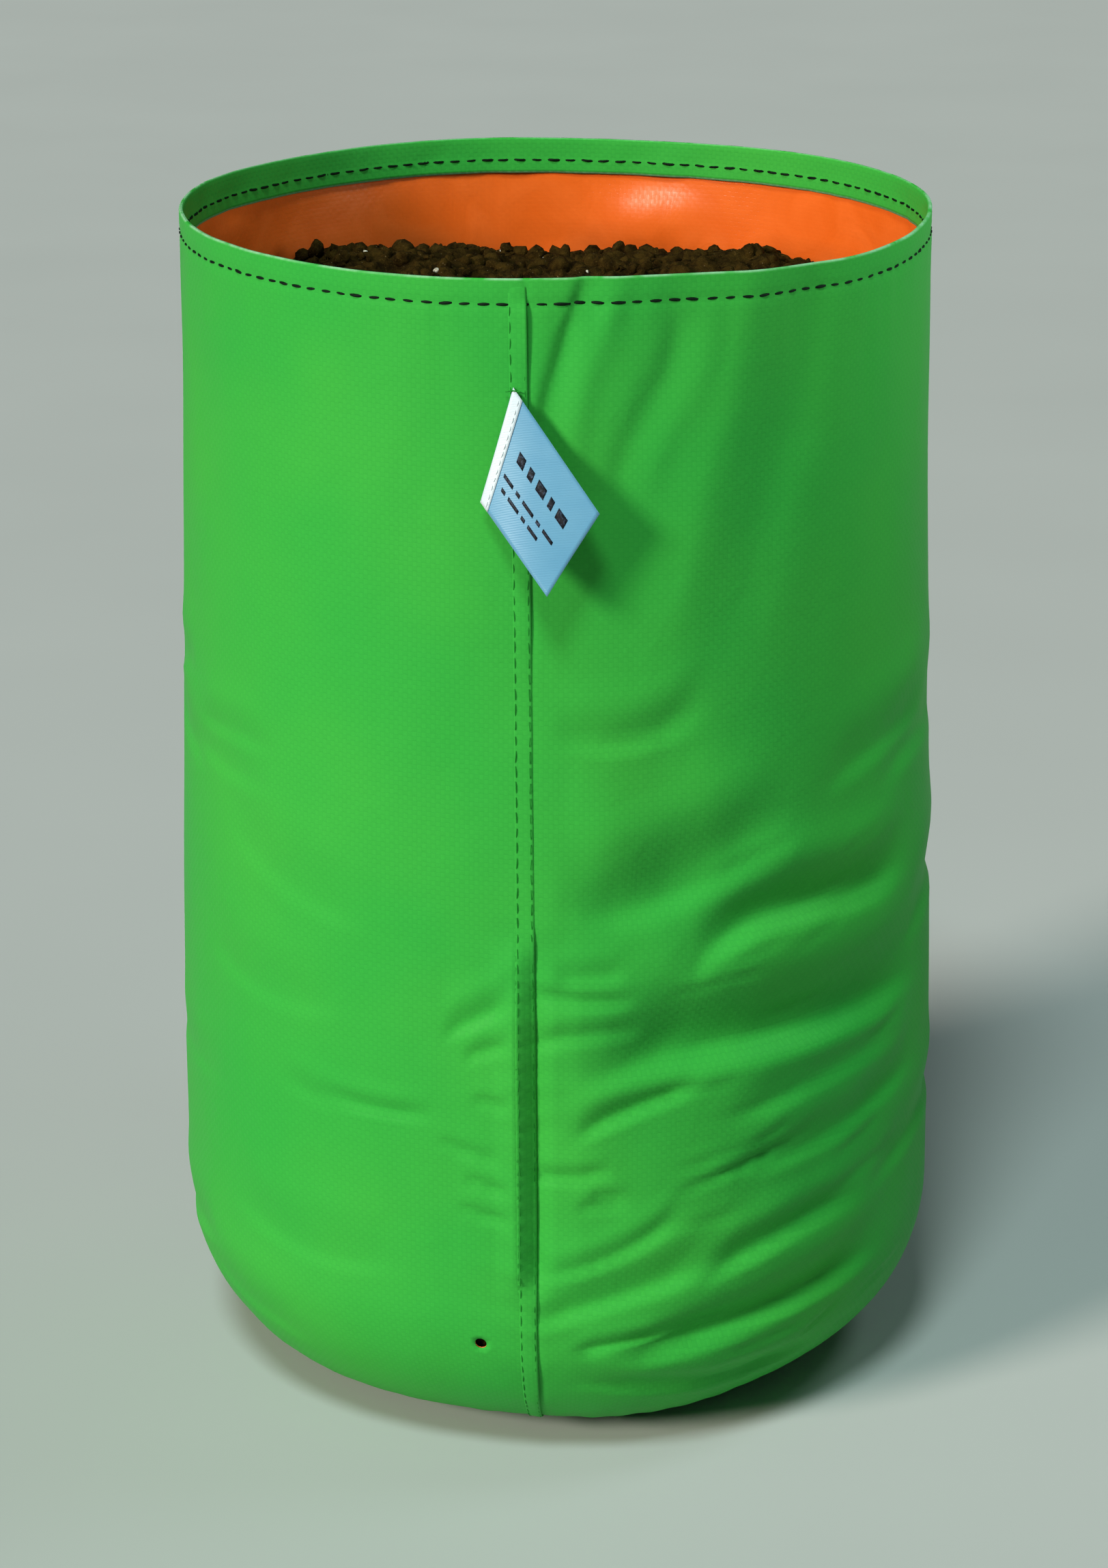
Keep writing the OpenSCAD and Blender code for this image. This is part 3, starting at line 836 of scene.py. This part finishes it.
def crumb_tree():
    tree, given = tree_with_inputs("strewn crumbs", "Density", "Smallest", "Largest", "Knobbly", "Knob scale")
    points = add(tree, "GeometryNodeDistributePointsOnFaces",
                 {"Mesh": given["Geometry"], "Density": given["Density"], "Seed": given["Seed"]})
    ball = add(tree, "GeometryNodeMeshIcoSphere", {"Radius": 1.0, "Subdivisions": 2})
    size = add(tree, "FunctionNodeRandomValue", {2: 0.0, 3: 1.0, "Seed": given["Seed"]})
    mostly_small = maths(tree, "POWER", size.outputs[1], 2.2)
    span = maths(tree, "SUBTRACT", given["Largest"], given["Smallest"])
    radius = maths(tree, "MULTIPLY_ADD", mostly_small, span, given["Smallest"])
    squash = add(tree, "FunctionNodeRandomValue", {0: (0.65, 0.65, 0.5), 1: (1.2, 1.2, 1.0), "Seed": 5},
                 data_type="FLOAT_VECTOR")
    scale = add(tree, "ShaderNodeVectorMath", {0: squash, "Scale": radius}, operation="SCALE")
    spin = add(tree, "FunctionNodeRandomValue", {0: (0, 0, 0), 1: (6.28, 6.28, 6.28), "Seed": 6},
               data_type="FLOAT_VECTOR")
    crumbs = add(tree, "GeometryNodeInstanceOnPoints",
                 {"Points": points, "Instance": ball, "Scale": scale,
                  "Rotation": add(tree, "FunctionNodeEulerToRotation", {0: spin})})
    real = add(tree, "GeometryNodeRealizeInstances", {0: crumbs})
    field = cloudy(tree, add(tree, "GeometryNodeInputPosition"), given["Knob scale"])
    centred = add(tree, "ShaderNodeVectorMath", {0: field.outputs[1], 1: (0.5, 0.5, 0.5)},
                  operation="SUBTRACT")
    knobs = add(tree, "ShaderNodeVectorMath", {0: centred, "Scale": given["Knobbly"]}, operation="SCALE")
    lumpy = add(tree, "GeometryNodeSetPosition", {"Geometry": real, "Offset": knobs})
    return give_mesh(tree, lumpy, given["Material"])


strewn = crumb_tree()
bed_radius = soil_edge.min() - 6 * MM
bed = bpy.data.meshes.new("crumb bed")
bed_spots = [place(soil_turns[::4], ring, 0.0) for ring in np.linspace(bed_radius, 3 * MM, 30)]
bed_points = [(x, y, soil_height(x, y)) for ring in bed_spots for x, y, _ in ring]
bed.from_pydata(bed_points, [], ring_faces(len(bed_spots), len(soil_turns[::4])))

crumbs = grown("soil_crumbs_strewn", bed, strewn, {
    "Density": 14000.0, "Smallest": 0.9 * MM, "Largest": 6.5 * MM, "Knobbly": 6.5 * MM,
    "Knob scale": 210.0, "Seed": 11, "Material": soil_mix})
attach(crumbs, "bag")
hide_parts("soil_crumbs")


def perlite_material():
    material, tree, shader = material_named("perlite", 0.85, 0.3)
    spot = add(tree, "ShaderNodeTexCoord").outputs["Object"]
    pores = cloudy(tree, spot, 900.0, 4.0)
    white = mixed(tree, ramp(tree, pores, 0.35, 0.65), (0.28, 0.24, 0.16), (0.66, 0.62, 0.52))
    coloured(tree, shader, white, bumped(tree, pores, 0.6 * MM, 0.7))
    return material


perlite = grown("perlite_strewn", bed, strewn, {
    "Density": 900.0, "Smallest": 0.7 * MM, "Largest": 1.9 * MM, "Knobbly": 1.2 * MM,
    "Knob scale": 500.0, "Seed": 23, "Material": perlite_material()})
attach(perlite, "bag")
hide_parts("perlite_grains")

# ---- Label ----------------------------------------------------------------------------
# A slip of pale blue satin cloth, hung by its top corner from the seam's second row of
# stitches. Its upper left edge is turned over, and its lower corner curls off the wall.
# The turned edge is near white: a painted highlight where its fold catches the light.

hinge = next(j for j in frame["joints"] if j["name"] == "label_flap")
label_top = Vector(hinge["pos_m"])
label_right = Vector((41, -19, -54)) * MM
label_bottom = Vector((17, -24, -92)) * MM
label_left = Vector((-15, -5.5, -53)) * MM
label_long, label_short = 70 * MM, 55 * MM
label_cloth_thickness = 0.35 * MM
off_wall = np.array([0.15, -1.0, 0.1])


def on_label(s, t, lift=0.0):
    """Points on the label: s runs from its top corner to its right one, t from top to left."""
    s, t = np.broadcast_arrays(np.asarray(s, float), np.asarray(t, float))
    right, bottom, left = (np.array(v) for v in (label_right, label_bottom, label_left))
    flat = (s * (1 - t))[..., None] * right + (s * t)[..., None] * bottom + ((1 - s) * t)[..., None] * left
    bow = 2.2 * MM * np.sin(math.pi * s) * (0.4 + 0.6 * t) + 1.2 * MM * np.sin(math.pi * t) * (1 - s)
    curl = 2.5 * MM * (s * t) ** 3
    return np.array(label_top) + flat + off_wall * (bow + curl + lift)[..., None]


def label_patch(name, node, s_values, t_values, lift, material):
    s, t = np.meshgrid(s_values, t_values)
    points = on_label(s, t, lift)
    piece = cloth_mesh(name, points, s_values * label_long, -t_values * label_short, closed=False)
    piece.data.flip_normals()
    piece.data.materials.append(material)
    thicken(piece, label_cloth_thickness)
    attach(piece, "label")
    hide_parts(node)
    return piece


def satin(name, pale, deep):
    material, tree, shader = material_named(name, 0.38, 0.45, 0.35)
    spot = add(tree, "ShaderNodeTexCoord").outputs["Object"]
    threads = add(tree, "ShaderNodeTexWave", {"Vector": spot, "Scale": 420.0, "Distortion": 0.6},
                  bands_direction="Z")
    colour = mixed(tree, ramp(tree, cloudy(tree, spot, 40.0), 0.3, 0.7), pale, deep)
    coloured(tree, shader, colour, bumped(tree, threads.outputs[1], 0.12 * MM, 0.35))
    return material


label_satin = satin("pale blue satin", (0.14, 0.36, 0.55), (0.10, 0.31, 0.51))
# painted highlight: the near-white of the turned edge stands in for the light its fold catches
edge_highlight_satin = satin("satin with painted highlight", (0.72, 0.78, 0.84), (0.62, 0.72, 0.82))
leaf = label_patch("label_cloth", "label_leaf", np.linspace(0, 1, 33), np.linspace(0, 1, 27),
                   0.0, label_satin)
label_patch("label_folded_edge", "label_turned_edge", np.linspace(0, 0.105, 6), np.linspace(0.0, 1, 30),
            0.5 * MM, edge_highlight_satin)

# Plain bars stand where the maker's print would be
ink, ink_tree, ink_shader = material_named("label ink", 0.55, 0.3)
ink_spot = add(ink_tree, "ShaderNodeTexCoord").outputs["Object"]
ink_wear = cloudy(ink_tree, ink_spot, 700.0, 3.0)
ink_colour = mixed(ink_tree, ramp(ink_tree, ink_wear, 0.5, 0.7), (0.006, 0.006, 0.012), (0.05, 0.07, 0.12))
coloured(ink_tree, ink_shader, ink_colour)
# Each row: its middle and height across the label, then where each bar starts and ends
bar_rows = [(0.38, 0.10, [(0.22, 0.30), (0.35, 0.41), (0.46, 0.56), (0.61, 0.66), (0.71, 0.82)]),
            (0.62, 0.035, [(0.15, 0.27), (0.31, 0.36), (0.40, 0.54), (0.58, 0.63), (0.67, 0.80)]),
            (0.73, 0.035, [(0.17, 0.22), (0.26, 0.40), (0.44, 0.49), (0.53, 0.66)])]
bars = []
for t_middle, t_height, spans in bar_rows:
    for s_from, s_to in spans:
        s, t = np.meshgrid(np.linspace(s_from, s_to, 6), t_middle + t_height * np.array([-0.5, 0, 0.5]))
        bar = cloth_mesh("bar", on_label(s, t, 0.12 * MM), s[0], t[:, 0], closed=False)
        bar.data.flip_normals()
        bars.append(bar)
with bpy.context.temp_override(active_object=bars[0], selected_editable_objects=bars):
    bpy.ops.object.join()
print_bars = bars[0]
print_bars.name = "label_print"
print_bars.data.materials.append(ink)
thicken(print_bars, 0.08 * MM)
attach(print_bars, "label")
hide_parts("label_printed_bars")

edge_t = np.linspace(0.06, 0.96, 40)
label_out = np.tile([0.2, -0.96, 0.15], (len(edge_t), 1))
label_thread = thread_material("label thread", (0.55, 0.6, 0.64), (0.8, 0.84, 0.88))
sew("label_edge_sewing", "label_edge_stitches", on_label(0.075, edge_t, 0.75 * MM), label_out, False,
    label_thread, pitch=4 * MM, length=2.8 * MM, thread=0.4 * MM, seed=8, body="label")

tack_offsets = np.array([[x, -1.3, -1.2 - abs(x) * 0.2] for x in (-2.4, -1.2, 0, 1.2, 2.4)]) * MM
sew("label_corner_tack", "label_tack", np.array(label_top) + tack_offsets, np.tile([0, -1.0, 0], (5, 1)),
    False, seam_thread, pitch=1.3 * MM, length=2.6 * MM, thread=0.6 * MM, seed=9, body="label")

# ---- Floor, light and camera ----------------------------------------------------------
# A plain pale floor and backdrop, a broad soft light from the front left, a second from above
# in front, and a small panel to the right that reaches inside the rim.

bpy.ops.mesh.primitive_circle_add(vertices=96, radius=14, fill_type="NGON", location=(0, 0, -0.0005))
floor = bpy.context.object
floor.name = "floor"
floor_paint, floor_tree, floor_shader = material_named("pale floor", 0.9, 0.1)
floor_spot = add(floor_tree, "ShaderNodeTexCoord").outputs["Object"]
floor_grain = cloudy(floor_tree, floor_spot, 3.0)
floor_colour = mixed(floor_tree, floor_grain.outputs[0], (0.51, 0.51, 0.51), (0.55, 0.55, 0.55))
coloured(floor_tree, floor_shader, floor_colour)
floor.data.materials.append(floor_paint)


def bearing(turn, elevation):
    """Unit direction from the bag towards a turn and an elevation, in degrees."""
    turn, elevation = math.radians(turn), math.radians(elevation)
    level = math.cos(elevation)
    return Vector((math.sin(turn) * level, -math.cos(turn) * level, math.sin(elevation)))


def aimed(name, data, way):
    """Puts a lamp or the camera in the scene, looking back along a direction."""
    holder = linked(name, data)
    holder.rotation_mode = "QUATERNION"
    holder.rotation_quaternion = way.to_track_quat("Z", "Y")
    return holder


def sun(name, turn, elevation, strength, spread, colour):
    lamp = bpy.data.lights.new(name, "SUN")
    lamp.energy, lamp.angle, lamp.color = strength, math.radians(spread), colour
    aimed(name, lamp, bearing(turn, elevation))


sun("key", -47, 24, 2.88, 14, (1.0, 0.94, 0.82))
sun("front", -10, 57, 1.6, 13, (0.78, 1.0, 0.96))
panel = bpy.data.lights.new("panel", "AREA")
panel.shape, panel.size, panel.energy, panel.color = "DISK", 0.3, 1.2, (0.75, 1.0, 0.95)
panel_turn, panel_reach, panel_height, panel_aim = 84, 0.56, 0.8, 0.58
panel_spot = bearing(panel_turn, 0) * panel_reach + Vector((0, 0, panel_height))
aimed("panel", panel, panel_spot - Vector((0, 0, panel_aim))).location = panel_spot
world = bpy.data.worlds.new("studio")
bpy.context.scene.world = world
world.use_nodes = True
backdrop = world.node_tree.nodes["Background"]
backdrop.inputs["Color"].default_value = (0.75, 0.97, 1, 1)
seen = add(world.node_tree, "ShaderNodeLightPath").outputs["Is Camera Ray"]
world_light, backdrop_glow = 0.06, 0.5
strength = ramp(world.node_tree, seen, 0.0, 1.0, world_light, backdrop_glow)
world.node_tree.links.new(strength.outputs[0], backdrop.inputs["Strength"])
bpy.context.scene.view_settings.view_transform = "Standard"

view_turn, view_distance, view_above_rim, view_pitch = 4.0, 2.0, 0.384, 19.05
left_of_axis = 1.5 * MM
camera = aimed("camera", bpy.data.cameras.new("camera"), bearing(view_turn, view_pitch))
camera.data.lens = 92.95
aside = bearing(view_turn - 90, 0) * left_of_axis
camera.location = bearing(view_turn, 0) * view_distance + aside + Vector((0, 0, bag_height + view_above_rim))
bpy.context.scene.camera = camera
